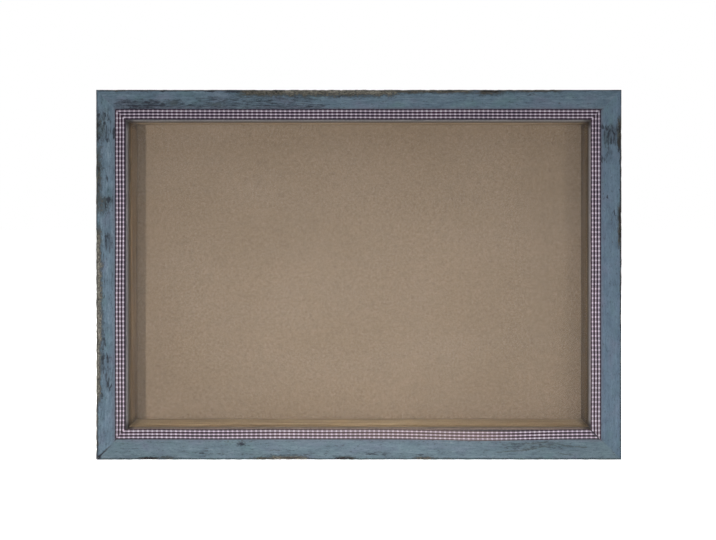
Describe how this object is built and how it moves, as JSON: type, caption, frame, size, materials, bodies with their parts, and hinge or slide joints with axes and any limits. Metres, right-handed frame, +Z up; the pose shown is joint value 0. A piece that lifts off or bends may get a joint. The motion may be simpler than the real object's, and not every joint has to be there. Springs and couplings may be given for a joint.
{
  "type": "picture frame",
  "caption": "Deep wooden box frame with worn blue-grey paint, gingham ribbon round the sight edge, glass, spacers and a backing board held by turn buttons; hangs on D-rings.",
  "frame": {"origin": "middle of the bottom rail's underside, halfway through its depth", "axes": "+X to the viewer's right, +Y from the picture side to the wall side, +Z up"},
  "size_m": [0.534, 0.0401, 0.376],
  "materials": {
    "painted_wood": "worn matt blue-grey paint over brown wood",
    "ribbon": "woven dark plum and white gingham",
    "glass": "clear, polished",
    "spacer_wood": "bare brown wood",
    "fibreboard": "raw brown fibreboard with fine specks",
    "brass": "dull brass plate",
    "zinc_steel": "bright zinc plate"
  },
  "bodies": {
    "frame": {"top_rail": "painted_wood", "bottom_rail": "painted_wood", "left_stile": "painted_wood", "right_stile": "painted_wood", "gingham_ribbon": "ribbon", "glass_pane": "glass", "spacer_top": "spacer_wood", "spacer_bottom": "spacer_wood", "spacer_left": "spacer_wood", "spacer_right": "spacer_wood", "backing_board": "fibreboard", "button_screw_top_left": "brass", "button_screw_top_right": "brass", "button_screw_bottom_left": "brass", "button_screw_bottom_right": "brass", "button_screw_left": "brass", "button_screw_right": "brass", "hanger_strap_left": "zinc_steel", "hanger_strap_right": "zinc_steel", "hanger_screw_left": "zinc_steel", "hanger_screw_right": "zinc_steel", "v_nail_top_left_outer": "zinc_steel", "v_nail_top_left_inner": "zinc_steel", "v_nail_top_right_outer": "zinc_steel", "v_nail_top_right_inner": "zinc_steel", "v_nail_bottom_left_outer": "zinc_steel", "v_nail_bottom_left_inner": "zinc_steel", "v_nail_bottom_right_outer": "zinc_steel", "v_nail_bottom_right_inner": "zinc_steel"},
    "button_top_left": {"turn_button_top_left": "brass"},
    "button_top_right": {"turn_button_top_right": "brass"},
    "button_bottom_left": {"turn_button_bottom_left": "brass"},
    "button_bottom_right": {"turn_button_bottom_right": "brass"},
    "button_left": {"turn_button_left": "brass"},
    "button_right": {"turn_button_right": "brass"},
    "ring_left": {"hanger_ring_left": "zinc_steel"},
    "ring_right": {"hanger_ring_right": "zinc_steel"}
  },
  "joints": [
    {"name": "turn_top_left", "type": "hinge", "parent": "frame", "child": "button_top_left", "pos_m": [-0.147, 0.0178, 0.359], "axis": [0, 1, 0], "continuous": true},
    {"name": "turn_top_right", "type": "hinge", "parent": "frame", "child": "button_top_right", "pos_m": [0.147, 0.0178, 0.359], "axis": [0, 1, 0], "continuous": true},
    {"name": "turn_bottom_left", "type": "hinge", "parent": "frame", "child": "button_bottom_left", "pos_m": [-0.147, 0.0178, 0.017], "axis": [0, 1, 0], "continuous": true},
    {"name": "turn_bottom_right", "type": "hinge", "parent": "frame", "child": "button_bottom_right", "pos_m": [0.147, 0.0178, 0.017], "axis": [0, 1, 0], "continuous": true},
    {"name": "turn_left", "type": "hinge", "parent": "frame", "child": "button_left", "pos_m": [-0.25, 0.0178, 0.188], "axis": [0, 1, 0], "continuous": true},
    {"name": "turn_right", "type": "hinge", "parent": "frame", "child": "button_right", "pos_m": [0.25, 0.0178, 0.188], "axis": [0, 1, 0], "continuous": true},
    {"name": "ring_left_swing", "type": "hinge", "parent": "frame", "child": "ring_left", "pos_m": [-0.255, 0.0197, 0.281], "axis": [1, 0, 0], "range_deg": [0, 172]},
    {"name": "ring_right_swing", "type": "hinge", "parent": "frame", "child": "ring_right", "pos_m": [0.255, 0.0197, 0.281], "axis": [1, 0, 0], "range_deg": [0, 172]}
  ]
}
